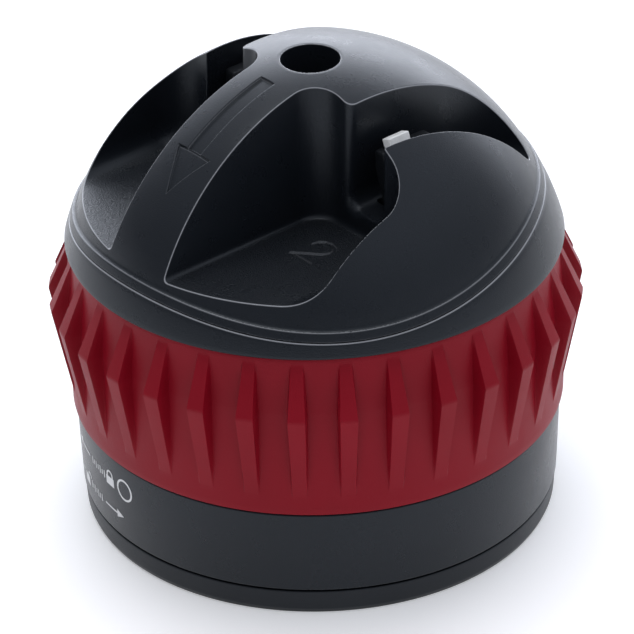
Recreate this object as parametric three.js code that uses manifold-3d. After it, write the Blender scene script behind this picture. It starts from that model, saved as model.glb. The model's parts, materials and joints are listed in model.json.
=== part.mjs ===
// Twist-lock suction-base knife sharpener with two pull-through stages.
// Units are millimetres, +Z is up, and the sharpener stands on z = 0.
import * as THREE from 'three';
import { mergeVertices } from 'three/addons/utils/BufferGeometryUtils.js';
import Module from 'manifold-3d';

const wasm = await Module();
wasm.setup();

// ---- driving dimensions ----
const GAP = 0.3;
const BALL_R = 42.1;          // collar and ledge follow this sphere
const BALL_Z = 37.88;         // height of its centre
const CAP_R = 41.03;          // the dome proper is a slightly smaller and higher sphere
const CAP_Z = 39.47;
const CAP_WALL = 2.4;
const BRIDGE_AZ = 40;         // direction of pull, degrees from +X
const BRIDGE_HALF = 6.1;
const NOTCH_OUT = 29.0;
const NOTCH_END = -3.7;
const NOTCH_FLOOR = 56.5;
const SLOT_IN = 13.5;
const SLOT_OUT = 21.7;
const SLOT_FLOOR = 60.0;
const SLOT_FAR = 27.6;
const STAGE_N = 18.4;         // middle of a sharpening stage, measured off the bridge plane
const HOLE_R = 4.8;
const WELL_Z = 63.0;
const COLLAR_Z = 48.75;
const FLANGE_TOP = 50.3;
const CHASSIS_Z0 = 50.6;
const CHASSIS_Z1 = 53.0;
const CHASSIS_R = 33.2;
const PILLAR_AT = 25;
const PILLAR_R = 3.0;
const RING_Z0 = 19.8;
const RING_Z1 = 48.42;
const RING_IN = 37.0;
const RIBS = 33;
const RIB_PHASE = -94.7;
const RIB_PEAK_R = 43.7;
const RIB_PEAK_Z = 39.0;
const BASE_TOP = 19.4;
const DECK_Z0 = 14.4;
const DECK_Z1 = 16.8;
const BORE_R = 8.3;
const TUBE_R = 10.4;
const TUBE_TOP = 45.8;
const PIN_Z = 30.5;
const PIN_R = 1.6;
const LIFT = 4.0;             // how far the cup's middle is pulled up
const TURN = 60;              // degrees of twist from free to locked

// ---- finishes ----
function finish(hex, roughness, metalness) {
  return { hex, roughness, metalness };
}
const BLACK = finish(0x26272b, 0.55, 0);
const DARK = finish(0x1d1e21, 0.6, 0);
const RED = finish(0x8e1420, 0.5, 0);
const GREY = finish(0x55585c, 0.6, 0);
const STEEL = finish(0x9a9da1, 0.35, 0.9);
const CARBIDE = finish(0x6b6e73, 0.4, 0.8);
const CERAMIC = finish(0xe9e8e2, 0.45, 0);
const RUBBER = finish(0x17181a, 0.85, 0);

// ---- helpers ----
function volume6(geo) {
  const p = geo.getAttribute('position');
  const ix = geo.index.array;
  let v = 0;
  const a = new THREE.Vector3();
  const b = new THREE.Vector3();
  const c = new THREE.Vector3();
  for (let i = 0; i < ix.length; i += 3) {
    a.fromBufferAttribute(p, ix[i]);
    b.fromBufferAttribute(p, ix[i + 1]);
    c.fromBufferAttribute(p, ix[i + 2]);
    v += a.dot(b.cross(c));
  }
  return v;
}

function solid(geo) {
  const g = geo.clone();
  g.deleteAttribute('normal');
  g.deleteAttribute('uv');
  const m = mergeVertices(g, 1e-5);
  const tri = Uint32Array.from(m.index.array);
  if (volume6(m) < 0) {
    for (let i = 0; i < tri.length; i += 3) {
      const t = tri[i];
      tri[i] = tri[i + 1];
      tri[i + 1] = t;
    }
  }
  const vert = Float32Array.from(m.getAttribute('position').array);
  return new wasm.Manifold(new wasm.Mesh({ numProp: 3, vertProperties: vert, triVerts: tri }));
}

function mesh(name, man, look) {
  const out = man.getMesh();
  const g = new THREE.BufferGeometry();
  g.setAttribute('position', new THREE.BufferAttribute(Float32Array.from(out.vertProperties), 3));
  g.setIndex(Array.from(out.triVerts));
  g.computeVertexNormals();
  const mat = new THREE.MeshStandardMaterial({
    color: look.hex, roughness: look.roughness, metalness: look.metalness,
  });
  const m = new THREE.Mesh(g, mat);
  m.name = name;
  return m;
}

const rad = (deg) => deg * Math.PI / 180;
const ballR = (radius, z, middle = BALL_Z) => Math.sqrt(radius * radius - (z - middle) ** 2);

// Solid spun about Z from a closed loop of [r, z] points; the loop may change with azimuth.
function spin(loopAt, stations) {
  const pos = [];
  const idx = [];
  const n = stations.length;
  const k = loopAt(stations[0]).length;
  for (const az of stations) {
    for (const [r, z] of loopAt(az)) {
      pos.push(r * Math.cos(rad(az)), r * Math.sin(rad(az)), z);
    }
  }
  for (let i = 0; i < n; i += 1) {
    const a = i * k;
    const b = ((i + 1) % n) * k;
    for (let j = 0; j < k; j += 1) {
      const j2 = (j + 1) % k;
      idx.push(a + j, b + j, b + j2);
      idx.push(a + j, b + j2, a + j2);
    }
  }
  const g = new THREE.BufferGeometry();
  g.setAttribute('position', new THREE.Float32BufferAttribute(pos, 3));
  g.setIndex(idx);
  return solid(dropSlivers(g));
}

// Triangles that fold onto the axis or onto a repeated point are removed.
function dropSlivers(geo) {
  const m = mergeVertices(geo, 1e-5);
  const src = m.index.array;
  const keep = [];
  for (let i = 0; i < src.length; i += 3) {
    const [a, b, c] = [src[i], src[i + 1], src[i + 2]];
    if (a !== b && b !== c && c !== a) {
      keep.push(a, b, c);
    }
  }
  m.setIndex(keep);
  return m;
}

function round(loop, seg = 36) {
  const st = [];
  for (let i = 0; i < seg; i += 1) {
    st.push(i * 360 / seg);
  }
  return spin(() => loop, st);
}

function cyl(r, z0, z1, x = 0, y = 0, seg = 24) {
  const g = new THREE.CylinderGeometry(r, r, z1 - z0, seg);
  g.rotateX(Math.PI / 2);
  g.translate(x, y, (z0 + z1) / 2);
  return solid(g);
}

function box(x0, x1, y0, y1, z0, z1) {
  const g = new THREE.BoxGeometry(x1 - x0, y1 - y0, z1 - z0);
  g.translate((x0 + x1) / 2, (y0 + y1) / 2, (z0 + z1) / 2);
  return solid(g);
}

function prism(shape, z0, z1, curve = 6) {
  const g = new THREE.ExtrudeGeometry(shape, { depth: z1 - z0, bevelEnabled: false, curveSegments: curve });
  g.translate(0, 0, z0);
  return solid(g);
}

// Closed outline through corner points [x, y, radius].
function rounded(pts) {
  const s = new THREE.Shape();
  const n = pts.length;
  for (let i = 0; i < n; i += 1) {
    const p = new THREE.Vector2(pts[i][0], pts[i][1]);
    const a = new THREE.Vector2(...pts[(i + n - 1) % n].slice(0, 2)).sub(p);
    const b = new THREE.Vector2(...pts[(i + 1) % n].slice(0, 2)).sub(p);
    const r = pts[i][2] || 0;
    const half = Math.acos(a.clone().normalize().dot(b.clone().normalize())) / 2;
    const cut = r > 0 ? r / Math.tan(half) : 0;
    const p0 = p.clone().add(a.clone().setLength(cut));
    const p1 = p.clone().add(b.clone().setLength(cut));
    const go = i === 0 ? 'moveTo' : 'lineTo';
    s[go](r > 0 ? p0.x : p.x, r > 0 ? p0.y : p.y);
    if (r > 0) {
      s.quadraticCurveTo(p.x, p.y, p1.x, p1.y);
    }
  }
  s.closePath();
  return s;
}

const toBridge = (man) => man.rotate([0, 0, BRIDGE_AZ]);
const mirrorN = (man) => man.mirror([0, 1, 0]);
const polar = (r, az) => [r * Math.cos(rad(az)), r * Math.sin(rad(az))];

function join(list) {
  return list.reduce((a, b) => a.add(b));
}

// ---- outer skin of dome and collar ----
// The joint between dome and collar dips under the finger notches and is symmetric about the bridge.
function seamZ(az) {
  const d = rad(az - BRIDGE_AZ - 180);
  return 54.41 - 2.66 * Math.cos(d) + 0.81 * Math.cos(2 * d) + 1.35 * Math.cos(3 * d);
}

function skinStations() {
  const st = [];
  for (let i = 0; i < 60; i += 1) {
    st.push(i * 6);
  }
  return st;
}

function capArc(radius, z0, steps) {
  const a0 = Math.asin((z0 - CAP_Z) / radius);
  const out = [];
  for (let i = 0; i < steps; i += 1) {
    const a = a0 + (Math.PI / 2 - a0) * i / steps;
    out.push([radius * Math.cos(a), CAP_Z + radius * Math.sin(a)]);
  }
  out.push([0, CAP_Z + radius]);
  return out;
}

function capBlank() {
  const inner = BALL_R - 3.0;
  return spin((az) => {
    const z = seamZ(az);
    return [
      [0, CHASSIS_Z0],
      [ballR(inner, CHASSIS_Z0), CHASSIS_Z0],
      [ballR(inner, z), z],
      [ballR(BALL_R, z), z],
      [ballR(BALL_R, z + 1.2), z + 1.2],
      ...capArc(CAP_R, z + 1.75, 8),
    ];
  }, skinStations());
}

function capVoid() {
  const inside = CAP_R - CAP_WALL;
  return round([
    [0, CHASSIS_Z0 - 2],
    [34.9, CHASSIS_Z0 - 2],
    [34.7, CHASSIS_Z0],
    [33.3, 54.0],
    [31.2, 58.4],
    ...capArc(inside, 59.2, 5),
  ], 36);
}

function notchShape(grow) {
  const far = -60;
  return rounded([
    [far, -(BRIDGE_HALF - grow), 0],
    [far, -(NOTCH_OUT + grow), 0],
    [NOTCH_END + grow, -(NOTCH_OUT + grow), 5.6],
    [NOTCH_END + grow, -(BRIDGE_HALF - grow), 4.8],
  ]);
}

function slotShape(grow) {
  return rounded([
    [-6, -(SLOT_IN - grow), 0],
    [-6, -(SLOT_OUT + grow), 0],
    [SLOT_FAR - 5 + grow, -(SLOT_OUT + 1.2 + grow), 1.5],
    [SLOT_FAR + grow, -(SLOT_OUT - 1.2 + grow), 2.5],
    [SLOT_FAR - 4 + grow, -(SLOT_IN + 0.6 - grow), 4],
  ]);
}

function sideCuts() {
  return join([
    prism(notchShape(0), NOTCH_FLOOR, 95),
    prism(slotShape(0), SLOT_FLOOR, 95),
    box(0.6, 10.3, -SLOT_OUT, -SLOT_IN - 1.4, 52, SLOT_FLOOR + 1),
  ]);
}

function sideWalls() {
  return join([
    prism(notchShape(2.0), NOTCH_FLOOR - 2.0, 95),
    prism(slotShape(2.0), SLOT_FLOOR - 2.0, 95).intersect(box(-3, 60, -60, 0, 50, 95)),
  ]);
}

function arrowCut() {
  const s = new THREE.Shape();
  s.moveTo(-8.9, 1.5);
  s.lineTo(-24.3, 1.5);
  s.lineTo(-24.3, 3.5);
  s.lineTo(-29.9, 0);
  s.lineTo(-24.3, -3.5);
  s.lineTo(-24.3, -1.5);
  s.lineTo(-8.9, -1.5);
  s.closePath();
  const slab = prism(s, 50, 95);
  const band = round([[0, 50], [60, 50], [60, 95], [0, 95]], 8);
  return slab.intersect(band.subtract(solidBall(CAP_R - 0.4)));
}

function solidBall(radius) {
  return round([[0, 30], [ballR(radius, 30, CAP_Z), 30], ...capArc(radius, 36, 12)], 48);
}

function domeCap() {
  const walls = sideWalls();
  const boss = cyl(7.2, 54.0, 95);
  const keep = join([toBridge(walls), toBridge(mirrorN(walls)), boss]);
  const cuts = sideCuts();
  return capBlank()
    .subtract(capVoid().subtract(keep))
    .subtract(toBridge(cuts))
    .subtract(toBridge(mirrorN(cuts)))
    .subtract(toBridge(arrowCut()))
    .subtract(cyl(HOLE_R, WELL_Z, 95))
    .subtract(cyl(2.2, 45, WELL_Z + 1, 0, 0, 20));
}

function collar() {
  const inner = BALL_R - 2.7;
  const shell = spin((az) => {
    const z = seamZ(az) - GAP;
    return [
      [ballR(BALL_R, COLLAR_Z), COLLAR_Z],
      [ballR(BALL_R, (COLLAR_Z + z) / 2), (COLLAR_Z + z) / 2],
      [ballR(BALL_R, z), z],
      [ballR(inner, z), z],
      [ballR(inner, FLANGE_TOP), FLANGE_TOP],
      [29.0, FLANGE_TOP],
      [29.0, COLLAR_Z],
    ];
  }, skinStations());
  return [30, 150, 270].reduce((m, az) => m.subtract(cyl(1.3, 40, 60, ...polar(31.2, az), 8)), shell);
}

function chassis() {
  const disc = round([[0, CHASSIS_Z0], [CHASSIS_R, CHASSIS_Z0], [CHASSIS_R, CHASSIS_Z1], [0, CHASSIS_Z1]], 48);
  const parts = [disc, cyl(5.2, 46.7, CHASSIS_Z0 + 1)];
  for (const az of [90, 210, 330]) {
    parts.push(cyl(PILLAR_R, DECK_Z1 + GAP, CHASSIS_Z0 + 1, ...polar(PILLAR_AT, az), 12));
  }
  let m = join(parts).subtract(cyl(2.0, 40, 60, 0, 0, 20));
  for (const az of [90, 210, 330]) {
    m = m.subtract(cyl(1.7, 10, 28, ...polar(PILLAR_AT, az), 8));
  }
  for (const az of [30, 150, 270]) {
    m = m.subtract(cyl(1.3, 40, 60, ...polar(31.2, az), 8));
  }
  for (const side of [1, -1]) {
    m = m.subtract(toBridge(cyl(1.6, 40, 60, STAGE_SCREW, side * STAGE_N, 8)));
  }
  return m;
}

// ---- screws ----
function screw(r, headR, headH, zHead, zTip, up) {
  const s = up ? 1 : -1;
  const z0 = Math.min(zHead, zHead + s * headH);
  const head = cyl(headR, z0, z0 + headH, 0, 0, 12);
  const shank = cyl(r, Math.min(zHead, zTip), Math.max(zHead, zTip), 0, 0, 8);
  const zc = zHead + s * headH;
  const cross = box(-headR * 0.6, headR * 0.6, -0.35, 0.35, zc - 1.0, zc + 1.0);
  return head.add(shank).subtract(cross).subtract(cross.rotate([0, 0, 90]));
}

// ---- sharpening stages (local frame: x along the pull, slot middle at y = 0) ----
const LEAN = 20;
const STAGE_SCREW = 5.2;
function bar(x0, x1, thick, zLow, zTop, cross, side) {
  const len = (zTop - zLow) / Math.cos(rad(LEAN));
  const low = (zLow - cross) / Math.cos(rad(LEAN));
  const g = new THREE.BoxGeometry(x1 - x0, thick, len);
  g.translate((x0 + x1) / 2, 0, low + len / 2);
  g.rotateX(rad(LEAN) * side);
  g.translate(0, 0, cross);
  return solid(g);
}

function alongPull(outline, x0, x1) {
  const g = new THREE.ExtrudeGeometry(rounded(outline), { depth: x1 - x0, bevelEnabled: false });
  g.rotateX(Math.PI / 2);
  g.rotateZ(Math.PI / 2);
  g.translate(x0, 0, 0);
  return solid(g);
}

function holder(bars) {
  const low = SLOT_FLOOR + GAP;
  const upper = alongPull([[2.9, low], [2.9, 66.4], [4.2, 70], [-3.05, 70], [-3.05, low]], -0.3, 10);
  const lower = box(0.9, 10, -3.05, 2.9, CHASSIS_Z1 + GAP, low + 0.5);
  const v = alongPull([[0, 68.3], [1.25, 71.3], [-1.25, 71.3]], -5, 15);
  let m = upper.add(lower).subtract(v);
  for (const b of bars) {
    m = m.subtract(b);
  }
  return m.subtract(cyl(1.45, 50, 58.6, STAGE_SCREW, 0, 16));
}

// Two bars cross like an X, one behind the other along the pull.
function stage(a, b, thick, cross, tipA, tipB) {
  const c = 0.12;
  const zLow = 63.2;
  const holes = [
    bar(a[0] - c, a[1] + c, thick + 2 * c, zLow - 0.2, 90, cross, -1),
    bar(b[0] - c, b[1] + c, thick + 2 * c, zLow - 0.2, tipB + 4, cross, 1),
  ];
  return {
    holder: holder(holes),
    a: bar(a[0], a[1], thick, zLow, tipA, cross, -1),
    b: bar(b[0], b[1], thick, zLow, tipB, cross, 1),
  };
}

function place(man, side) {
  const m = man.translate([0, -STAGE_N, 0]);
  return toBridge(side > 0 ? m : mirrorN(m));
}

// ---- twist ring and cam ----
function ringStations() {
  const pitch = 360 / RIBS;
  const foot = 2.15;
  const crown = 1.7;
  const st = [];
  for (let i = 0; i < RIBS; i += 1) {
    const c = RIB_PHASE + i * pitch;
    st.push([c - foot, 0], [c - crown, 1], [c + crown, 1], [c + foot, 0]);
  }
  return st;
}

function twistRing() {
  const st = ringStations();
  const on = new Map(st.map(([az, k]) => [az, k]));
  const body = spin((az) => {
    const k = on.get(az);
    return [
      [40.5, RING_Z0],
      [40.6, 23.2],
      [40.9 + k * (RIB_PEAK_R - 40.9), RIB_PEAK_Z],
      [40.05, 47.4],
      [39.85, RING_Z1],
      [RING_IN, RING_Z1],
      [RING_IN, 30.3],
      [29.4, 30.3],
      [29.4, 27.3],
      [RING_IN, 27.3],
      [RING_IN, RING_Z0],
    ];
  }, st.map((s) => s[0]));
  return [60, 180, 300].reduce((m, az) => m.subtract(cyl(1.5, 20, 40, ...polar(31.7, az), 8)), body);
}

// Bar that climbs with azimuth, used to cut the cam slots.
function helix(r0, r1, az0, z0, half) {
  const pos = [];
  const idx = [];
  const list = [-10];
  for (let i = 0; i <= 6; i += 1) {
    list.push(i * TURN / 6);
  }
  list.push(TURN + 10);
  list.forEach((d) => {
    const z = z0 + LIFT * Math.min(Math.max(d, 0), TURN) / TURN;
    const [c, s] = polar(1, az0 + d);
    pos.push(r0 * c, r0 * s, z - half, r1 * c, r1 * s, z - half);
    pos.push(r1 * c, r1 * s, z + half, r0 * c, r0 * s, z + half);
  });
  const n = list.length;
  for (let i = 0; i < n - 1; i += 1) {
    for (let j = 0; j < 4; j += 1) {
      const a = i * 4 + j;
      const b = i * 4 + (j + 1) % 4;
      idx.push(a, b, b + 4, a, b + 4, a + 4);
    }
  }
  const e = (n - 1) * 4;
  idx.push(0, 2, 1, 0, 3, 2, e, e + 1, e + 2, e, e + 2, e + 3);
  const g = new THREE.BufferGeometry();
  g.setAttribute('position', new THREE.Float32BufferAttribute(pos, 3));
  g.setIndex(idx);
  return solid(g);
}

function arcSlot(r0, r1, az0, az1, z0, z1) {
  const s = new THREE.Shape();
  const steps = 10;
  const pts = [];
  for (let i = 0; i <= steps; i += 1) {
    pts.push(polar(r1, az0 + (az1 - az0) * i / steps));
  }
  for (let i = steps; i >= 0; i -= 1) {
    pts.push(polar(r0, az0 + (az1 - az0) * i / steps));
  }
  pts.forEach((p, i) => (i === 0 ? s.moveTo(...p) : s.lineTo(...p)));
  s.closePath();
  return prism(s, z0, z1);
}

function camDrive() {
  let m = round([[10.8, 23], [14.2, 23], [14.2, 24], [36.5, 24], [36.5, 27], [14.2, 27],
    [14.2, 42], [10.8, 42]], 44);
  for (const az of [90, 210, 330]) {
    m = m.subtract(arcSlot(21.3, 28.7, az - 8.6, az + TURN + 8.6, 22, 29));
  }
  for (const az of [0, 180]) {
    m = m.subtract(helix(9, 16, az, PIN_Z, 2.0));
  }
  for (const az of [60, 180, 300]) {
    m = m.subtract(cyl(1.5, 20, 40, ...polar(31.7, az), 8));
  }
  return m;
}

// ---- base, stem, cup ----
function baseHousing() {
  let m = round([
    [39.4, 4.7],
    [39.7, 12],
    [39.95, BASE_TOP],
    [36.6, BASE_TOP],
    [36.6, 23.6],
    [34.4, 23.6],
    [34.4, DECK_Z1],
    [TUBE_R, DECK_Z1],
    [TUBE_R, TUBE_TOP],
    [0, TUBE_TOP],
    [0, 43.7],
    [BORE_R, 43.7],
    [BORE_R, DECK_Z0],
    [33.0, DECK_Z0],
    [33.0, 9.7],
    [36.0, 9.7],
    [36.0, 4.7],
  ], 54);
  m = m.subtract(box(-14, 14, -2.1, 2.1, 28.2, 37.0));
  for (const az of [90, 210, 330]) {
    m = m.subtract(cyl(1.8, 10, 20, ...polar(PILLAR_AT, az), 8));
  }
  return m;
}

function footRing() {
  return round([[33.6, 0], [38.6, 0], [39.0, 0.5], [39.25, 4.3], [35.7, 4.3], [35.7, 7.5], [33.6, 7.5]], 54);
}

function suctionCup() {
  return round([
    [0, 2.4],
    [12, 2.1],
    [24, 1.3],
    [31.4, 0],
    [33.2, 0],
    [33.2, 7.8],
    [35.4, 7.8],
    [35.4, 9.3],
    [32.2, 9.3],
    [31.0, 4.6],
    [27, 3.8],
    [14.2, 5.0],
    [13.6, 9.5],
    [6.2, 9.5],
    [6.2, 8.0],
    [9.6, 8.0],
    [9.6, 5.0],
    [0, 5.0],
  ], 36);
}

function liftStem() {
  const m = round([
    [0, 5.3],
    [9.2, 5.3],
    [9.2, 7.7],
    [5.9, 7.7],
    [5.9, 9.8],
    [7.9, 9.8],
    [7.9, 38.5],
    [5.7, 38.5],
    [5.7, 33.3],
    [0, 33.3],
  ], 24);
  const bore = cyl(PIN_R + 0.15, -12, 12, 0, 0, 12).rotate([0, 90, 0]).translate([0, 0, PIN_Z]);
  return m.subtract(bore);
}

function crossPin() {
  return cyl(PIN_R, -15.4, 15.4, 0, 0, 12).rotate([0, 90, 0]).translate([0, 0, PIN_Z]);
}

function spring() {
  const turns = 4;
  const z0 = 34.1;
  const z1 = 42.9;
  const pts = [];
  for (let i = 0; i <= turns * 10; i += 1) {
    const a = i * Math.PI / 5;
    pts.push(new THREE.Vector3(4.5 * Math.cos(a), 4.5 * Math.sin(a), z0 + (z1 - z0) * i / (turns * 10)));
  }
  const wire = new THREE.Shape();
  wire.absarc(0, 0, 0.45, 0, Math.PI * 2);
  const path = new THREE.CatmullRomCurve3(pts);
  return solid(new THREE.ExtrudeGeometry(wire, { steps: turns * 10, extrudePath: path, curveSegments: 3 }));
}

// ---- assembly ----
const group = new THREE.Group();
group.name = 'suction_base_sharpener';
const put = (name, man, look) => group.add(mesh(name, man, look));

put('base_housing', baseHousing(), BLACK);
put('foot_ring', footRing(), DARK);
put('suction_cup', suctionCup(), RUBBER);
put('lift_stem', liftStem(), GREY);
put('cross_pin', crossPin(), STEEL);
put('return_spring', spring(), STEEL);
put('cam_drive', camDrive(), GREY);
put('twist_ring', twistRing(), RED);
put('top_chassis', chassis(), DARK);
put('collar', collar(), BLACK);
put('dome_cap', domeCap(), BLACK);

put('center_screw', screw(1.7, 4.0, 2.4, WELL_Z + GAP, 47.5, true), STEEL);
[90, 210, 330].forEach((az, i) => {
  const s = screw(1.4, 2.9, 1.6, DECK_Z0 - GAP, 26, false).translate([...polar(PILLAR_AT, az), 0]);
  put(`base_screw_${i + 1}`, s, STEEL);
});
[60, 180, 300].forEach((az, i) => {
  const s = screw(1.2, 2.2, 1.4, 24 - GAP, 30.0, false).translate([...polar(31.7, az), 0]);
  put(`ring_screw_${i + 1}`, s, STEEL);
});
[30, 150, 270].forEach((az, i) => {
  const s = screw(1.0, 1.9, 1.2, COLLAR_Z - GAP, 52.6, false).translate([...polar(31.2, az), 0]);
  put(`collar_screw_${i + 1}`, s, STEEL);
});

const coarse = stage([0.5, 4.1], [4.5, 8.1], 1.7, 66.8, 71.4, 70.6);
const fine = stage([1.24, 5.44], [5.84, 9.4], 1.8, 66.4, 71.7, 70.7);
const stageScrew = screw(1.15, 2.2, 1.4, CHASSIS_Z0 - GAP, 58.0, false).translate([STAGE_SCREW, 0, 0]);
put('stage1_holder', place(coarse.holder, -1), GREY);
put('stage1_carbide_a', place(coarse.a, -1), CARBIDE);
put('stage1_carbide_b', place(coarse.b, -1), CARBIDE);
put('stage1_screw', place(stageScrew, -1), STEEL);
put('stage2_holder', place(fine.holder, 1), GREY);
put('stage2_ceramic_a', place(fine.a, 1), CERAMIC);
put('stage2_ceramic_b', place(fine.b, 1), CERAMIC);
put('stage2_screw', place(stageScrew, 1), STEEL);

export default group;
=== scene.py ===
"""Domed knife sharpener with a ribbed twist ring on a suction base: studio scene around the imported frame."""
import bpy, bmesh, json, math
import numpy as np
from mathutils import Matrix, Vector


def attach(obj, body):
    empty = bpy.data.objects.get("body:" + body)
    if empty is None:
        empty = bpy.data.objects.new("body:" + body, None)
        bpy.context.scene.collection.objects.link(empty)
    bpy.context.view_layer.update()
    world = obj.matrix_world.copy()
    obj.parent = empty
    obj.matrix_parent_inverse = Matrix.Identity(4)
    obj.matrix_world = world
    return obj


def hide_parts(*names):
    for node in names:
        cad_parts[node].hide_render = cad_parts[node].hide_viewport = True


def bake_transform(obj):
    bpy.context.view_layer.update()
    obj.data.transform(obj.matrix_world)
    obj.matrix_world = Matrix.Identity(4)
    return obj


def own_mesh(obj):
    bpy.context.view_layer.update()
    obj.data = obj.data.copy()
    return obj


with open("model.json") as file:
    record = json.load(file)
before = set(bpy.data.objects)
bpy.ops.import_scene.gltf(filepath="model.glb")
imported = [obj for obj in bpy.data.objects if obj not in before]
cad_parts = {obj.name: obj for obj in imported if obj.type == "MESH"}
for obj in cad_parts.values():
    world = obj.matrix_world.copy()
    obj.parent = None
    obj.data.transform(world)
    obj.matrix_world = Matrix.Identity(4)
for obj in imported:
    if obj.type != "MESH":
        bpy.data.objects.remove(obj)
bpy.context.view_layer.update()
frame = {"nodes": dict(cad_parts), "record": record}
MM = 0.001
NODES = frame["nodes"]

# ---------------------------------------------------------------- dimensions, mm
BALL_R, BALL_Z = 42.1, 37.88
CAP_R, CAP_Z = 41.03, 39.47
BRIDGE_AZ = math.radians(40)
BRIDGE_HALF, NOTCH_OUT, NOTCH_END, NOTCH_FLOOR = 6.1, 29.0, -3.7, 56.5
SLOT_IN, SLOT_OUT, SLOT_FLOOR, SLOT_FAR, STAGE_N = 13.5, 21.7, 60.0, 27.6, 18.4
HOLE_R, WELL_Z = 4.8, 63.0
RING_Z0, RING_Z1, RING_IN = 19.8, 48.42, 37.0
RIBS, RIB_PHASE, RIB_R, RIB_Z = 33, -94.7, 43.7, 39.0
RIB_FOOT_Z, RIB_HEAD_Z = 23.4, 47.3
RIB_STEPS = (0, 0.5, 0.85, 0.95, 1.0, 1.05, 1.10, 1.16, 1.22, 1.28, 1.34, 1.4)  # across half a rib; crown ends at 1
LAND_STEPS = (0.15, 0.35, 0.6, 0.85)  # from the last rib step to the middle of the land
RING_HEIGHTS = [*np.linspace(RING_Z0 + 0.35, 23.2, 4), *np.linspace(23.5, RIB_Z - 0.9, 16),
                *np.linspace(RIB_Z - 0.6, RIB_Z + 0.6, 7), *np.linspace(RIB_Z + 1.0, 47.0, 10), 47.3, 47.6, 48.0]
BASE_TOP = 19.4
COLLAR_Z0, COLLAR_WALL, SEAM_GAP = 48.75, 2.7, 0.15
EDGE, LEDGE, DRAFT, TOP_Z = 0.25, 1.45, 0.037, 80.15
SHELL_GAP = 2.0  # wall left round each cut in the dome
DIGIT_AT, DIGIT_HALF = (-13.0, 15.6), 0.3  # place (t, n) of a stage number, half the width of its stroke
WEDGES, CUP_RIM_R, CUP_HUB_R = 12, 30.8, 13.0
LEAN, BAR_LOW = math.radians(20), 63.2
STAGES = {
    "stage1": dict(side=-1, thick=1.7, cross=66.8, slot="carbide", bars=((0.5, 4.1, 71.4, -1), (4.5, 8.1, 70.6, 1))),
    "stage2": dict(side=1, thick=1.8, cross=66.4, slot="ceramic", bars=((1.24, 5.44, 71.7, -1), (5.84, 9.4, 70.3, 1))),
}
MARK_AZ, INK_OUT, INK_IN = -143.0, 0.04, -0.1

# ---------------------------------------------------------------- light and colour
BACK_GLOW, CEILING_GLOW, SIDE_GLOW, FRONT_GLOW = 4.6, 0.5, 0.3, 0.2
# Painted edge highlight: a pale tone and low roughness mixed onto the convex edges, for the glint of light on their
# small fillets.
EDGE_HIGHLIGHT_TONE, EDGE_ROUGH = (0.27, 0.275, 0.29), 0.22
COOL, WHITE = (0.88, 0.94, 1.0), (1, 1, 1)
PAINT = {}


# ---------------------------------------------------------------- camera and light
def camera():
    """Long lens, a third of the way up, turned a little about its own axis."""
    elevation, roll, distance = math.radians(31.17), math.radians(-1.4), 800 * MM
    target = Vector((0.064, 0, 32.07)) * MM
    back = Vector((0, -math.cos(elevation), math.sin(elevation)))
    right = Vector((1, 0, 0))
    up = back.cross(right)
    r = right * math.cos(roll) + up * math.sin(roll)
    u = up * math.cos(roll) - right * math.sin(roll)
    data = bpy.data.cameras.new("camera")
    data.lens, data.sensor_width = 276.8, 36
    data.clip_start, data.clip_end = 0.01, 20
    cam = bpy.data.objects.new("camera", data)
    m = Matrix((r, u, back)).transposed().to_4x4()
    m.translation = target + back * distance
    cam.matrix_world = m
    bpy.context.scene.collection.objects.link(cam)
    bpy.context.scene.camera = cam


def area(name, where, aim, size, power):
    """Square area light that points from one place at another."""
    data = bpy.data.lights.new(name, "AREA")
    data.shape, data.size, data.energy = "SQUARE", size, power
    o = bpy.data.objects.new(name, data)
    o.location = where
    o.rotation_mode = "QUATERNION"
    o.rotation_quaternion = (Vector(aim) - Vector(where)).to_track_quat("-Z", "Y")
    bpy.context.scene.collection.objects.link(o)


def math_node(nt, op, a, b=None):
    """Math node with sockets or plain numbers as its inputs."""
    n = nt.nodes.new("ShaderNodeMath")
    n.operation = op
    for i, v in enumerate((a, b)):
        if v is None:
            continue
        if isinstance(v, (int, float)):
            n.inputs[i].default_value = v
        else:
            nt.links.new(v, n.inputs[i])
    return n.outputs[0]


def ease(nt, value, lo, hi, to_lo, to_hi):
    """Smooth step of a socket from one range to another."""
    n = nt.nodes.new("ShaderNodeMapRange")
    n.interpolation_type = "SMOOTHSTEP"
    nt.links.new(value, n.inputs["Value"])
    for k, v in (("From Min", lo), ("From Max", hi), ("To Min", to_lo), ("To Max", to_hi)):
        n.inputs[k].default_value = v
    return n.outputs["Result"]


def tent():
    """Light tent: a bright wall low at the back, a dimmer ceiling and right wall, and a dark front."""
    world = bpy.data.worlds.new("studio")
    world.use_nodes = True
    nt = world.node_tree
    pos = nt.nodes.new("ShaderNodeTexCoord").outputs["Generated"]
    sep = nt.nodes.new("ShaderNodeSeparateXYZ")
    nt.links.new(pos, sep.inputs[0])
    x, y, z = sep.outputs
    back = math_node(nt, "MULTIPLY", ease(nt, y, 0.45, 0.98, 0.0, 1.0), ease(nt, z, 0.42, 0.80, BACK_GLOW, 0.0))
    ceiling = ease(nt, z, 0.15, 0.75, 0.0, CEILING_GLOW)
    side = ease(nt, x, -0.2, 0.9, 0.0, SIDE_GLOW)
    total = math_node(nt, "ADD", math_node(nt, "ADD", back, ceiling), math_node(nt, "ADD", side, FRONT_GLOW))
    bg = nt.nodes["Background"]
    bg.inputs["Color"].default_value = (0.90, 0.94, 1.04, 1)
    nt.links.new(total, bg.inputs["Strength"])
    bpy.context.scene.world = world


def studio():
    bpy.context.scene.view_settings.view_transform = "Standard"
    tent()
    area("overhead", (-0.10, 0.10, 0.95), (0, 0, 0.05), 0.5, 2.5)
    floor = mesh_object("floor", *disc_grid(6.0, 48))
    floor.data.materials.append(floor_paint())


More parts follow.
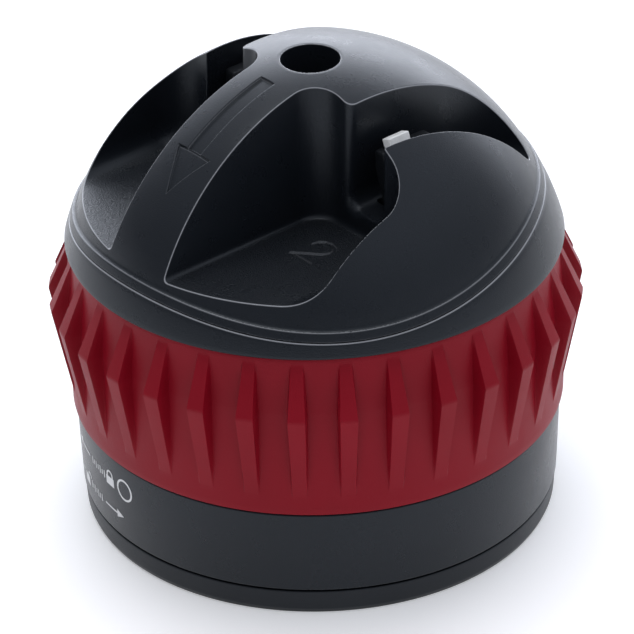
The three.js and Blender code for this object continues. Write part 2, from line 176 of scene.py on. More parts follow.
# ---------------------------------------------------------------- mesh helpers
def mesh_object(name, verts, faces, smooth=None):
    """Mesh in metres; smooth is the angle in degrees above which an edge stays sharp."""
    me = bpy.data.meshes.new(name)
    me.from_pydata([tuple(v) for v in verts], [], faces)
    me.validate()
    me.update()
    o = bpy.data.objects.new(name, me)
    bpy.context.scene.collection.objects.link(o)
    if smooth is not None:
        me.shade_smooth()
        if smooth < 180:
            me.set_sharp_from_angle(angle=math.radians(smooth))
    return o


def disc_grid(radius, seg):
    pts = [(0, 0, 0)] + [(radius * math.cos(2 * math.pi * i / seg), radius * math.sin(2 * math.pi * i / seg), 0)
                         for i in range(seg)]
    return pts, [(0, 1 + i, 1 + (i + 1) % seg) for i in range(seg)]


def piece(name, verts_mm, faces, body, slot, *nodes, smooth=35):
    """Painted mesh that rides on a body and stands in for CAD nodes."""
    o = mesh_object(name, np.asarray(verts_mm, float) * MM, faces, smooth)
    o.data.materials.append(PAINT[slot])
    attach(o, body)
    if nodes:
        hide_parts(*nodes)
    return o


def rounded(points, n=4):
    """Closed loop of (r, z, radius) corners with arcs in place of the corners."""
    out = []
    k = len(points)
    for i, (x, y, r) in enumerate(points):
        p = np.array((x, y), float)
        a = np.array(points[i - 1][:2], float) - p
        b = np.array(points[(i + 1) % k][:2], float) - p
        la, lb = np.linalg.norm(a), np.linalg.norm(b)
        if r <= 0 or la < 1e-9 or lb < 1e-9:
            out.append((x, y))
            continue
        a, b = a / la, b / lb
        half = math.acos(max(-1, min(1, float(a @ b)))) / 2
        cut = min(r / math.tan(half), la * 0.49, lb * 0.49)
        p0, p1 = p + a * cut, p + b * cut
        for j in range(n + 1):
            t = j / n
            q = p0 * (1 - t) ** 2 + p * 2 * t * (1 - t) + p1 * t * t
            out.append((float(q[0]), float(q[1])))
    return out


def loop_quads(n, k):
    """Quads between n closed loops of k points each, the last joined to the first."""
    faces = []
    for i in range(n):
        a, b = i * k, (i + 1) % n * k
        for j in range(k):
            j2 = (j + 1) % k
            faces.append((a + j, b + j, b + j2, a + j2))
    return faces


def spun(loop_at, stations):
    """Vertices and quads of a closed loop of (r, z) carried round Z; the loop may change with azimuth."""
    verts = []
    for az in stations:
        c, s = math.cos(math.radians(az)), math.sin(math.radians(az))
        loop = loop_at(az)
        verts += [(r * c, r * s, z) for r, z in loop]
    return verts, loop_quads(len(stations), len(loop))


def even(n):
    return [360 * i / n for i in range(n)]


def seam_z(az_deg):
    """Height of the wavy seam between the dome and the collar."""
    d = np.radians(az_deg) - BRIDGE_AZ - math.pi
    return 54.41 - 2.66 * np.cos(d) + 0.81 * np.cos(2 * d) + 1.35 * np.cos(3 * d)


def ball_r(radius, z):
    """Radius from the axis, at a height, of a sphere about the ball's centre."""
    return math.sqrt(radius * radius - (z - BALL_Z) ** 2)


# ---------------------------------------------------------------- distance fields
def smax(a, b, k):
    """Larger of two fields, with their corner rounded over the width k."""
    h = np.maximum(k - np.abs(a - b), 0) / k
    return np.maximum(a, b) + h * h * k / 4


def smin(a, b, k):
    return -smax(-a, -b, k)


def surface_net(f, lo, hi, h):
    """Quads of the surface f = 0 on a grid of step h, each vertex then moved onto the surface."""
    lo, hi = np.array(lo, float), np.array(hi, float)
    n = np.ceil((hi - lo) / h).astype(int) + 1
    ax = [lo[i] + h * np.arange(n[i]) for i in range(3)]
    X, Y, Z = np.meshgrid(*ax, indexing="ij")
    V = f(X, Y, Z).astype(np.float32)
    m = n - 1
    cnt = np.zeros(m, np.uint8)
    acc = [np.zeros(m, np.float32) for _ in range(3)]
    edges = []
    for axis in range(3):
        s0, s1 = [slice(None)] * 3, [slice(None)] * 3
        s0[axis], s1[axis] = slice(0, -1), slice(1, None)
        a, b = V[tuple(s0)], V[tuple(s1)]
        cross = (a < 0) != (b < 0)
        t = np.where(cross, a / np.where(cross, a - b, 1), 0).astype(np.float32)
        edges.append((cross, a < 0))
        others = [i for i in range(3) if i != axis]
        for o1 in (0, 1):
            for o2 in (0, 1):
                w = [slice(None)] * 3
                w[others[0]] = slice(o1, m[others[0]] + o1)
                w[others[1]] = slice(o2, m[others[1]] + o2)
                c = cross[tuple(w)]
                cnt += c
                acc[axis] += t[tuple(w)] * c
                acc[others[0]] += o1 * c
                acc[others[1]] += o2 * c
    index = np.full(m, -1, np.int64)
    active = cnt > 0
    index[active] = np.arange(active.sum())
    base = np.argwhere(active)
    P = np.stack([acc[i][active] / cnt[active] for i in range(3)], 1) + base
    P = lo + P * h
    faces = []
    for axis in range(3):
        u, v = (axis + 1) % 3, (axis + 2) % 3
        cross, inside = edges[axis]
        e = np.argwhere(cross)
        e = e[(e[:, u] > 0) & (e[:, v] > 0) & (e[:, u] < m[u]) & (e[:, v] < m[v])]
        quad = []
        for du, dv in ((-1, -1), (0, -1), (0, 0), (-1, 0)):
            c = e.copy()
            c[:, u] += du
            c[:, v] += dv
            quad.append(index[c[:, 0], c[:, 1], c[:, 2]])
        q = np.stack(quad, 1)
        out = inside[e[:, 0], e[:, 1], e[:, 2]]
        q[~out] = q[~out][:, ::-1]
        faces.append(q)
    F = np.concatenate(faces)
    for _ in range(3):
        P = settle(f, P, h)
    return P, F


def settle(f, P, h):
    """Moves points along the field's gradient onto f = 0, by at most half of h."""
    eps = 0.02
    d = f(P[:, 0], P[:, 1], P[:, 2])
    g = np.stack([f(*(P + eps * np.eye(3)[i]).T) - f(*(P - eps * np.eye(3)[i]).T) for i in range(3)], 1) / (2 * eps)
    step = d[:, None] * g / np.maximum((g * g).sum(1), 0.2)[:, None]
    length = np.linalg.norm(step, axis=1, keepdims=True)
    return P - step * np.minimum(1, 0.5 * h / np.maximum(length, 1e-9))


def net_piece(name, f, lo, hi, h, *rest, **kw):
    P, F = surface_net(f, lo, hi, h)
    return piece(name, P, F.tolist(), *rest, **kw)


def to_tn(x, y):
    """Coordinates along the bridge (t) and across it (n)."""
    c, s = math.cos(BRIDGE_AZ), math.sin(BRIDGE_AZ)
    return x * c + y * s, x * s - y * c


def from_tn(t, n):
    c, s = math.cos(BRIDGE_AZ), math.sin(BRIDGE_AZ)
    return t * c + n * s, t * s - n * c


# ---------------------------------------------------------------- dome
def notch2d(t, m, grow):
    """Plan of a finger notch: a strip with two corners of different radius."""
    mid, half = (BRIDGE_HALF + NOTCH_OUT) / 2, (NOTCH_OUT - BRIDGE_HALF) / 2 + grow
    r = np.where(m > mid, 5.8, 5.0)
    q1 = t - (NOTCH_END + grow) + r
    q2 = np.abs(m - mid) - half + r
    return np.minimum(np.maximum(q1, q2), 0) + np.hypot(np.maximum(q1, 0), np.maximum(q2, 0)) - r


def slot2d(t, m, grow):
    """Plan of a blade slot: it runs out of the dome's side and closes in a curve at its far end."""
    inner = SLOT_IN - grow - m
    outer = m - (SLOT_OUT + 0.055 * np.clip(t + 3, 0, 40) + grow)
    far = t - (SLOT_FAR + grow)
    d = smax(inner, far, 11.0)
    return smax(np.maximum(d, -6 - t), outer, 1.2)


def dome_layers(x, y, z):
    """The dome before its cuts, and the cuts: two notches with their blade slots, and the screw's well."""
    t, n = to_tn(x, y)
    m = np.abs(n)
    flat = x * x + y * y
    rho = np.sqrt(flat + (z - BALL_Z) ** 2)
    cap = np.sqrt(flat + (z - CAP_Z) ** 2)
    zs = seam_z(np.degrees(np.arctan2(y, x)))
    ledge = smax(rho - BALL_R, z - (zs + LEDGE), 0.25)
    skin = smin(cap - CAP_R, ledge, 0.5)
    skin = smax(skin, zs - z, 0.25)
    spigot = np.maximum(rho - (BALL_R - 3.0), 50.6 - z)
    body = np.minimum(skin, spigot)
    inside = np.where(z > 59, cap - (CAP_R - 2.4), rho - 36.9)
    walls = np.maximum(notch2d(t, m, SHELL_GAP), NOTCH_FLOOR - SHELL_GAP - z)
    walls = np.minimum(walls, np.maximum(np.maximum(slot2d(t, m, SHELL_GAP), -3 - t), SLOT_FLOOR - SHELL_GAP - z))
    walls = np.minimum(walls, np.maximum(np.sqrt(flat) - 7.2, 54 - z))
    body = np.maximum(body, -np.maximum(inside, -walls))
    notch = smax(notch2d(t, m, DRAFT * (z - 72)), NOTCH_FLOOR - z, np.interp(m, [18, 25], [1.0, 4.0]))
    slot = smax(slot2d(t, m, 0), SLOT_FLOOR - z, 3.0)
    cuts = smin(notch, slot, np.interp(m, [15, 18], [1.6, 0.3]))
    cuts = np.minimum(cuts, np.maximum(np.sqrt(flat) - HOLE_R, WELL_Z - z))
    return body, cuts


def dome_field(x, y, z):
    """The dome with its cuts, the pockets of the two stages and a flat rim round the top hole."""
    body, cuts = dome_layers(x, y, z)
    t, n = to_tn(x, y)
    body = smax(body, -cuts, EDGE)
    pocket = np.maximum(np.maximum(np.abs(t - 5.45) - 4.85, np.abs(np.abs(n) - 18.3) - 3.4), z - 61)
    body = np.maximum(body, -pocket)
    return np.maximum(body, np.maximum(2.2 - np.sqrt(x * x + y * y), z - TOP_Z))


def close_to(a, b, w):
    """1 where two fields meet, falling to 0 over the width w."""
    return np.clip(1 - np.abs(a - b) / w, 0, 1)


def dome_edges(P, w):
    """How near each point is to one of the dome's convex edges, 1 on the edge itself."""
    x, y, z = P.T
    body, cuts = dome_layers(x, y, z)
    e = close_to(body, -cuts, w)
    flat = x * x + y * y
    rho = np.sqrt(flat + (z - BALL_Z) ** 2)
    zs = seam_z(np.degrees(np.arctan2(y, x)))
    rim = np.maximum(close_to(z, zs + LEDGE, w), close_to(z, zs, w)) * (np.abs(rho - BALL_R) < 0.2)
    return np.maximum(e, 0.65 * rim)


def polyline_field(u, v, pts):
    """Distance in the plan to a polyline."""
    d = np.full(u.shape, 1e9)
    for (x0, y0), (x1, y1) in zip(pts, pts[1:]):
        dx, dy = x1 - x0, y1 - y0
        w = np.clip(((u - x0) * dx + (v - y0) * dy) / (dx * dx + dy * dy), 0, 1)
        d = np.minimum(d, np.hypot(u - x0 - w * dx, v - y0 - w * dy))
    return d


def arrow_field(t, n):
    """Inside is negative: shaft and head of the arrow that gives the direction of pull."""
    shaft = np.maximum(np.abs(n) - 1.55, np.abs(t + 16.6) - 7.7)
    slope = math.hypot(1, 0.64)
    head = np.maximum((np.abs(n) - (t + 30.2) * 0.64) / slope, t + 24.3)
    return np.minimum(shaft, head)


def digit(kind):
    """Centre line of the numeral 1 or 2."""
    if kind == 1:
        return [(-1.6, 1.6), (0.2, 3.2), (0.2, -3.1)]
    return [(-2.0, 1.3), (-1.75, 2.3), (-1.0, 3.0), (0.1, 3.25), (1.2, 3.0), (1.95, 2.3), (2.15, 1.4), (1.8, 0.5),
            (1.1, -0.3), (-2.3, -3.1), (2.3, -3.1)]


def engraving(P):
    """Depth in mm of the arrow and the stage numbers at each point."""
    t, n = to_tn(P[:, 0], P[:, 1])
    a = arrow_field(t, n)
    depth = 0.42 * np.clip(0.5 - a / 0.16, 0, 1) * (np.abs(n) < 4.6)
    floor = (P[:, 2] < NOTCH_FLOOR + 0.2) & (P[:, 2] > NOTCH_FLOOR - 0.2)
    for side, kind in ((1, 2), (-1, 1)):
        u, v = digit_frame(t, n, side)
        d = polyline_field(u, v, digit(kind)) - DIGIT_HALF
        depth = np.maximum(depth, 0.3 * np.clip(0.5 - d / 0.16, 0, 1) * floor)
    return depth


def digit_frame(t, n, side):
    """Digit's own axes: its top is towards the blade slot."""
    return n - side * DIGIT_AT[1], t - DIGIT_AT[0]


def mark_lines(P):
    """Distance in the plan from each point to the outline of the arrow or of a stage number."""
    t, n = to_tn(P[:, 0], P[:, 1])
    d = np.where((P[:, 2] > 59) & (np.abs(n) < 5.5), np.abs(arrow_field(t, n)), 9.0)
    for side, kind in ((1, 2), (-1, 1)):
        u, v = digit_frame(t, n, side)
        g = np.abs(polyline_field(u, v, digit(kind)) - DIGIT_HALF)
        d = np.minimum(d, np.where(np.abs(P[:, 2] - NOTCH_FLOOR) < 0.4, g, 9.0))
    return d


def detail(o):
    """Splits the faces along edges and marks, moves them onto the exact surface, sinks the marks, sets normals."""
    bm = bmesh.new()
    bm.from_mesh(o.data)
    co = np.array([f.calc_center_median() for f in bm.faces]) / MM
    up = np.array([f.normal.z for f in bm.faces]) > 0.5
    near = (dome_edges(co, 0.8) > 0.05) & (co[:, 2] > 51)
    near |= (mark_lines(co) < 0.75) & up
    bm.faces.ensure_lookup_table()
    edges = list({e for i in np.nonzero(near)[0] for e in bm.faces[i].edges})
    bmesh.ops.subdivide_edges(bm, edges=edges, cuts=3, use_grid_fill=True)
    P = np.array([v.co for v in bm.verts]) / MM
    P = settle(dome_field, settle(dome_field, P, 0.2), 0.2)
    for v, p in zip(bm.verts, P * MM):
        v.co = p
    bm.normal_update()
    normals = np.array([v.normal for v in bm.verts])
    d = engraving(P) * (normals[:, 2] > 0.35)
    P = P - normals * d[:, None]
    for v, p in zip(bm.verts, P * MM):
        v.co = p
    bm.to_mesh(o.data)
    bm.free()
    o.data.shade_smooth()
    eps = 0.02 * np.eye(3)
    g = np.stack([dome_field(*(P + e).T) - dome_field(*(P - e).T) for e in eps], 1)
    g /= np.maximum(np.linalg.norm(g, axis=1, keepdims=True), 1e-9)
    meshed = np.zeros(len(P) * 3)
    o.data.vertex_normals.foreach_get("vector", meshed)
    marked = mark_lines(P) < 0.45
    g[marked] = meshed.reshape(-1, 3)[marked]
    o.data.normals_split_custom_set_from_vertices(g)
    # Painted highlight: strength of the pale edge colour along the convex edges and the outlines of the marks.
    glint = np.maximum(dome_edges(P, 0.25), 0.6 * np.clip(1 - mark_lines(P) / 0.14, 0, 1))
    store_edge(o, glint)


def store_edge(o, values):
    """Keeps the strength of the painted edge highlight, a paler colour on the edges, at each point for the material."""
    a = o.data.attributes.new("edge", "FLOAT", "POINT")
    a.data.foreach_set("value", np.asarray(values, np.float32))


def dome():
    """Black dome, netted from its field and then refined along its edges."""
    h = 0.35
    o = net_piece("dome_shell", dome_field, (-41.2, -41.2, 50.1), (41.2, 41.2, 81.2), h,
                  "base", "black_shell", "dome_cap", smooth=180)
    detail(o)
    return o


# ---------------------------------------------------------------- collar, ring, base
def collar():
    """Band between the dome and the ring, with the wavy upper edge."""
    inner = BALL_R - COLLAR_WALL

    def loop(az):
        z = float(seam_z(az)) - SEAM_GAP
        rise = [COLLAR_Z0 + (z - COLLAR_Z0) * k / 5 for k in range(1, 5)]
        return rounded([(ball_r(BALL_R, COLLAR_Z0), COLLAR_Z0, 0.25)] + [(ball_r(BALL_R, h), h, 0) for h in rise] + [
            (ball_r(BALL_R, z), z, 0.3), (ball_r(inner, z), z, 0.2), (ball_r(inner, 50.3), 50.3, 0.2),
            (29.0, 50.3, 0.2), (29.0, COLLAR_Z0, 0.2)], 3)

    o = piece("collar_band", *spun(loop, even(240)), "base", "black_shell", "collar")
    drilled(o, [(1.3, 31.2, az, 45, 60) for az in (30, 150, 270)])
    P = np.array([v.co for v in o.data.vertices]) / MM
    top = seam_z(np.degrees(np.arctan2(P[:, 1], P[:, 0]))) - SEAM_GAP
    r = np.hypot(P[:, 0], P[:, 1])
    corner = np.sqrt(BALL_R ** 2 - (top - BALL_Z) ** 2)
    # Painted highlight along the collar's upper corner.
    store_edge(o, np.clip(1.3 - np.hypot(r - corner, P[:, 2] - top) / 0.22, 0, 1))
    return o


def cylinder_cutter(r, x, y, z0, z1, seg=24):
    ring = [(x + r * math.cos(2 * math.pi * i / seg), y + r * math.sin(2 * math.pi * i / seg)) for i in range(seg)]
    verts = [(a, b, z0) for a, b in ring] + [(a, b, z1) for a, b in ring]
    faces = [tuple(range(seg - 1, -1, -1)), tuple(range(seg, 2 * seg))]
    faces += [(i, (i + 1) % seg, seg + (i + 1) % seg, seg + i) for i in range(seg)]
    return verts, faces


def cut_with(o, verts, faces):
    """Subtracts a closed mesh in mm from an object."""
    cutter = mesh_object("cutter", np.asarray(verts) * MM, faces)
    mod = o.modifiers.new("cut", "BOOLEAN")
    mod.operation, mod.solver, mod.object = "DIFFERENCE", "EXACT", cutter
    bpy.context.view_layer.update()
    made = bpy.data.meshes.new_from_object(o.evaluated_get(bpy.context.evaluated_depsgraph_get()))
    o.modifiers.remove(mod)
    o.data = made
    bpy.data.objects.remove(cutter)
    return o


def drilled(o, holes, smooth=35):
    """Cuts upright holes, each given as (radius, distance from the axis, azimuth, bottom, top)."""
    verts, faces = [], []
    for r, at, az, z0, z1 in holes:
        a = math.radians(az)
        v, f = cylinder_cutter(r, at * math.cos(a), at * math.sin(a), z0, z1)
        faces += [tuple(i + len(verts) for i in q) for q in f]
        verts += v
    cut_with(o, verts, faces)
    o.data.shade_smooth()
    o.data.set_sharp_from_angle(angle=math.radians(smooth))
    return o


def land_r(z):
    """Radius between the ribs, with a soft crease at the height of their peaks."""
    low = 40.5 + (z - RING_Z0) * 0.4 / 19.2
    high = 39.85 + (RING_Z1 - z) * 1.05 / 9.42
    return float(smin(np.array(low), np.array(high), 0.05))


def crown_r(z):
    """Radius of a rib's crown: a long slope below the peak and a short one above."""
    low = 40.6 + (z - RIB_FOOT_Z) * (RIB_R - 40.6) / (RIB_Z - RIB_FOOT_Z)
    high = 40.02 + (RIB_HEAD_Z - z) * (RIB_R - 40.02) / (RIB_HEAD_Z - RIB_Z)
    return float(smin(np.array(low), np.array(high), 0.22))


def rib_half(z):
    """Half the crown's width in degrees: widest at the peak."""
    return float(np.interp(z, [RING_Z0, RIB_Z, RING_Z1], [1.5, 1.85, 1.25]))


def ring_station(step, on_rib, pitch):
    """Outer profile (radius, height, turn in degrees) of the ring at one step between a rib's middle and the land's."""
    out = []
    for z in RING_HEIGHTS:
        half = rib_half(z)
        if on_rib:
            off = half * step
            down = float(np.clip((step - 1.0) / 0.22, 0, 1))
            share = 1 - down * down * (3 - 2 * down)
        else:
            edge = half * RIB_STEPS[-1]
            off = edge + (pitch / 2 - edge) * step
            share = 0
        out.append((land_r(z) + share * max(crown_r(z) - land_r(z), 0), z, off))
    return out


def twist_ring():
    """Red ring: each rib is crowned, and its flanks fall to the land along a smooth step."""
    pitch = 360 / RIBS
    half_row = [ring_station(k, True, pitch) for k in RIB_STEPS] + [ring_station(k, False, pitch) for k in LAND_STEPS]
    row = [(-1, st) for st in reversed(half_row[1:-1])] + [(1, st) for st in half_row]
    inner = rounded([(39.85, RING_Z1, 0.3), (RING_IN, RING_Z1, 0.3), (RING_IN, 30.3, 0.2), (29.4, 30.3, 0.2),
                     (29.4, 27.3, 0.2), (RING_IN, 27.3, 0.2), (RING_IN, RING_Z0, 0.3), (40.5, RING_Z0, 0.3)], 3)
    verts = []
    for i in range(RIBS):
        mid = RIB_PHASE + i * pitch
        for sign, outer in row:
            inner_turn = outer[len(outer) // 2][2]
            for r, z, turn in outer + [(r, z, inner_turn) for r, z in inner]:
                a = math.radians(mid + sign * turn)
                verts.append((r * math.cos(a), r * math.sin(a), z))
    faces = loop_quads(RIBS * len(row), len(RING_HEIGHTS) + len(inner))
    return piece("grip_ring", verts, faces, "twist", "red_grip", "twist_ring", smooth=24)


def base():
    """Base with its inner column, the three screw holes and the window for the cross pin."""
    loop = rounded([
        (39.4, 4.7, 0.35), (39.7, 12, 0), (39.95, BASE_TOP, 0.3), (36.6, BASE_TOP, 0.2), (36.6, 23.6, 0.3),
        (34.4, 23.6, 0.3), (34.4, 16.8, 0.5), (10.4, 16.8, 0.6), (10.4, 45.8, 0.5), (2.0, 45.8, 0.2),
        (2.0, 43.7, 0.2), (8.3, 43.7, 0.3), (8.3, 14.4, 0.4), (33.0, 14.4, 0.5), (33.0, 9.7, 0.3),
        (36.0, 9.7, 0.3), (36.0, 4.7, 0.3)], 3)
    o = piece("base_body", *spun(lambda az: loop, even(240)), "base", "black_shell", "base_housing")
    drilled(o, [(1.8, 25, az, 10, 20) for az in (90, 210, 330)])
    window = [(x, y, z) for x in (-14, 14) for y in (-2.1, 2.1) for z in (28.2, 37.0)]
    cut_with(o, window, [(0, 1, 3, 2), (4, 6, 7, 5), (0, 4, 5, 1), (2, 3, 7, 6), (0, 2, 6, 4), (1, 5, 7, 3)])
    o.data.shade_smooth()
    o.data.set_sharp_from_angle(angle=math.radians(35))
    return o


def foot():
    """Thin separate band at the very bottom."""
    loop = rounded([(33.6, 0, 0.3), (38.6, 0, 0.35), (39.0, 0.9, 0.5), (39.25, 4.3, 0.35), (35.7, 4.3, 0.2),
                    (35.7, 7.5, 0.3), (33.6, 7.5, 0.3)], 3)
    piece("foot_trim", *spun(lambda az: loop, even(240)), "base", "black_trim", "foot_ring")


def cup():
    """Rubber cup in wedges."""
    loop = rounded([
        (0.02, 2.5, 0), (5, 2.45, 0.5), (12, 2.1, 1.0), (24, 1.35, 0.5), (27.6, 1.0, 0.1), (27.9, 0.8, 0.1),
        (29.4, 0.6, 0.1), (29.7, 0.4, 0.1), (31.2, 0.15, 0.2), (31.6, 0.0, 0.2), (33.2, 0.0, 0.4), (33.2, 7.8, 0.2),
        (35.4, 7.8, 0.2), (35.4, 9.3, 0.4), (32.2, 9.3, 0.4), (31.0, 4.6, 0.8), (27, 3.8, 1.5), (14.2, 5.0, 1.0),
        (13.6, 9.5, 0.6), (6.2, 9.5, 0.3), (6.2, 8.0, 0.2), (9.6, 8.0, 0.2), (9.6, 5.0, 0.3), (0.02, 5.0, 0)], 3)
    fine = []
    for (r0, z0), (r1, z1) in zip(loop, loop[1:]):
        n = max(1, int(math.hypot(r1 - r0, z1 - z0) / 1.5))
        fine += [(r0 + (r1 - r0) * i / n, z0 + (z1 - z0) * i / n) for i in range(n)]
    fine.append(loop[-1])
    k, steps = len(fine), 10
    for w in range(WEDGES):
        az = 360 * w / WEDGES
        verts, faces = [], []
        for i in range(steps + 1):
            a = math.radians(az + (i / steps - 0.5) * 360 / WEDGES)
            verts += [(r * math.cos(a), r * math.sin(a), z) for r, z in fine]
        for i in range(steps):
            for j in range(k - 1):
                q = i * k + j
                faces.append((q, q + k, q + k + 1, q + 1))
        o = mesh_object(f"rubber_cup_{w + 1:02d}", np.asarray(verts) * MM, faces, 40)
        o.data.materials.append(PAINT["rubber"])
        if w == 0:
            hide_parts("suction_cup")
        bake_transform(o)


def spring():
    """Compression spring with closed end coils."""
    wire, radius, low, high, turns, per, sides = 0.45, 4.5, 34.1, 42.9, 5, 28, 10
    verts, faces = [], []
    total = turns * per
    for i in range(total + 1):
        f = i / total
        rise = float(np.interp(f, [0, 0.17, 0.83, 1], [0, 0.07, 0.93, 1]))
        a = 2 * math.pi * turns * f
        z = low + (high - low) * rise
        for j in range(sides):
            b = 2 * math.pi * j / sides
            r = radius + wire * math.cos(b)
            verts.append((r * math.cos(a), r * math.sin(a), z + wire * math.sin(b)))
    for i in range(total):
        for j in range(sides):
            p, q = i * sides + j, i * sides + (j + 1) % sides
            faces.append((p, p + sides, q + sides, q))
    faces += [tuple(range(sides)), tuple(range(total * sides + sides - 1, total * sides - 1, -1))]
    o = piece("lift_spring", verts, faces, "base", "steel", "return_spring", smooth=50)
    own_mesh(o)


# ---------------------------------------------------------------- materials
def material(name):
    """Empty node material, its tree and its surface shader."""
    m = bpy.data.materials.new(name)
    m.use_nodes = True
    nt = m.node_tree
    return m, nt, nt.nodes["Principled BSDF"]


def noise(nt, coord, scale, detail=2.0, rough=0.5):
    n = nt.nodes.new("ShaderNodeTexNoise")
    n.inputs["Scale"].default_value = scale
    n.inputs["Detail"].default_value = detail
    n.inputs["Roughness"].default_value = rough
    nt.links.new(coord, n.inputs["Vector"])
    return n.outputs["Fac"]


def ramp(nt, fac, stops):
    n = nt.nodes.new("ShaderNodeValToRGB")
    el = n.color_ramp.elements
    while len(el) < len(stops):
        el.new(0.5)
    for e, (p, c) in zip(el, stops):
        e.position = p
        e.color = (*c, 1) if isinstance(c, tuple) else (c, c, c, 1)
    nt.links.new(fac, n.inputs["Fac"])
    return n.outputs["Color"]


def bump(nt, height, strength, distance, normal=None):
    n = nt.nodes.new("ShaderNodeBump")
    n.inputs["Strength"].default_value = strength
    n.inputs["Distance"].default_value = distance
    nt.links.new(height, n.inputs["Height"])
    if normal is not None:
        nt.links.new(normal, n.inputs["Normal"])
    return n.outputs["Normal"]


def plastic(name, dark, light, rough, grain, grain_depth, spec=0.5, tint=WHITE):
    """Moulded plastic: eroded-mould grain, shallow waves, faint flow variation in colour and gloss."""
    m, nt, bsdf = material(name)
    pos = nt.nodes.new("ShaderNodeTexCoord").outputs["Object"]
    big = noise(nt, pos, 45, 3, 0.55)
    nt.links.new(ramp(nt, big, [(0.3, dark), (0.75, light)]), bsdf.inputs["Base Color"])
    mid = noise(nt, pos, 220, 3, 0.6)
    nt.links.new(ramp(nt, mid, [(0.25, rough - 0.04), (0.8, rough + 0.05)]), bsdf.inputs["Roughness"])
    fine = noise(nt, pos, grain, 2, 0.5)
    soft = noise(nt, pos, 90, 1, 0.4)
    n1 = bump(nt, soft, 0.12, 0.0004)
    nt.links.new(bump(nt, fine, 1.0, grain_depth, n1), bsdf.inputs["Normal"])
    bsdf.inputs["Specular IOR Level"].default_value = spec
    bsdf.inputs["Specular Tint"].default_value = (*tint, 1)
    return m


def metal(name, tone, rough, scratch):
    """Ground metal with fine lines along one direction."""
    m, nt, bsdf = material(name)
    pos = nt.nodes.new("ShaderNodeTexCoord").outputs["Object"]
    mapping = nt.nodes.new("ShaderNodeMapping")
    mapping.inputs["Scale"].default_value = (1, 1, 14)
    nt.links.new(pos, mapping.inputs["Vector"])
    line = noise(nt, mapping.outputs["Vector"], 600, 3, 0.6)
    nt.links.new(ramp(nt, line, [(0.3, tuple(c * 0.85 for c in tone)), (0.7, tone)]), bsdf.inputs["Base Color"])
    nt.links.new(ramp(nt, line, [(0.2, rough - 0.06), (0.8, rough + 0.08)]), bsdf.inputs["Roughness"])
    nt.links.new(bump(nt, line, 1.0, scratch), bsdf.inputs["Normal"])
    bsdf.inputs["Metallic"].default_value = 1.0
    return m


def ceramic():
    """Unglazed white ceramic with a fine tooth."""
    m, nt, bsdf = material("ceramic")
    pos = nt.nodes.new("ShaderNodeTexCoord").outputs["Object"]
    spots = noise(nt, pos, 900, 3, 0.6)
    nt.links.new(ramp(nt, spots, [(0.3, (0.80, 0.80, 0.78)), (0.7, (0.9, 0.9, 0.89))]), bsdf.inputs["Base Color"])
    nt.links.new(ramp(nt, spots, [(0.2, 0.42), (0.8, 0.6)]), bsdf.inputs["Roughness"])
    nt.links.new(bump(nt, noise(nt, pos, 3500, 2), 0.6, 0.00003), bsdf.inputs["Normal"])
    return m


def floor_paint():
    m, nt, bsdf = material("floor")
    pos = nt.nodes.new("ShaderNodeTexCoord").outputs["Object"]
    nt.links.new(ramp(nt, noise(nt, pos, 3, 2), [(0.3, 0.90), (0.7, 0.92)]), bsdf.inputs["Base Color"])
    bsdf.inputs["Roughness"].default_value = 0.8
    bsdf.inputs["Specular IOR Level"].default_value = 0.1
    bsdf.inputs["Emission Color"].default_value = (1, 1, 1, 1)
    bsdf.inputs["Emission Strength"].default_value = 0.25
    return m


def grained_dome():
    """The dome's plastic, with a coarser grain on the flat floors of the finger notches and a painted highlight: a
    pale, glossier colour along the edges.
    """
    m = plastic("black_shell", (0.0075, 0.0092, 0.0120), (0.0095, 0.0114, 0.0150), 0.29, 5200, 0.000035, 0.28, COOL)
    nt = m.node_tree
    bsdf = nt.nodes["Principled BSDF"]
    pos = nt.nodes.new("ShaderNodeTexCoord").outputs["Object"]
    place = nt.nodes.new("ShaderNodeSeparateXYZ")
    nt.links.new(pos, place.inputs[0])
    off = math_node(nt, "ABSOLUTE", math_node(nt, "SUBTRACT", place.outputs["Z"], NOTCH_FLOOR * MM))
    facing = nt.nodes.new("ShaderNodeSeparateXYZ")
    nt.links.new(nt.nodes.new("ShaderNodeNewGeometry").outputs["Normal"], facing.inputs[0])
    on_floor = math_node(nt, "MULTIPLY", math_node(nt, "LESS_THAN", off, 0.0004),
                         math_node(nt, "GREATER_THAN", facing.outputs["Z"], 0.93))
    grain = math_node(nt, "MULTIPLY", noise(nt, pos, 2600, 3, 0.65), on_floor)
    # Painted highlight: the stored edge strength mixes the pale tone and low roughness into the edges.
    painted_highlight = nt.nodes.new("ShaderNodeAttribute")
    painted_highlight.attribute_name = "edge"
    share = ease(nt, painted_highlight.outputs["Fac"], 0.25, 0.95, 0.0, 1.0)
    for socket, value in (("Base Color", EDGE_HIGHLIGHT_TONE), ("Roughness", (EDGE_ROUGH,) * 3)):
        mix = nt.nodes.new("ShaderNodeMix")
        mix.data_type = "RGBA"
        nt.links.new(share, mix.inputs["Factor"])
        nt.links.new(bsdf.inputs[socket].links[0].from_socket, mix.inputs["A"])
        mix.inputs["B"].default_value = (*value, 1)
        nt.links.new(mix.outputs["Result"], bsdf.inputs[socket])
    fine = bsdf.inputs["Normal"].links[0].from_socket
    nt.links.new(bump(nt, grain, 1.0, 0.00015, fine), bsdf.inputs["Normal"])
    return m


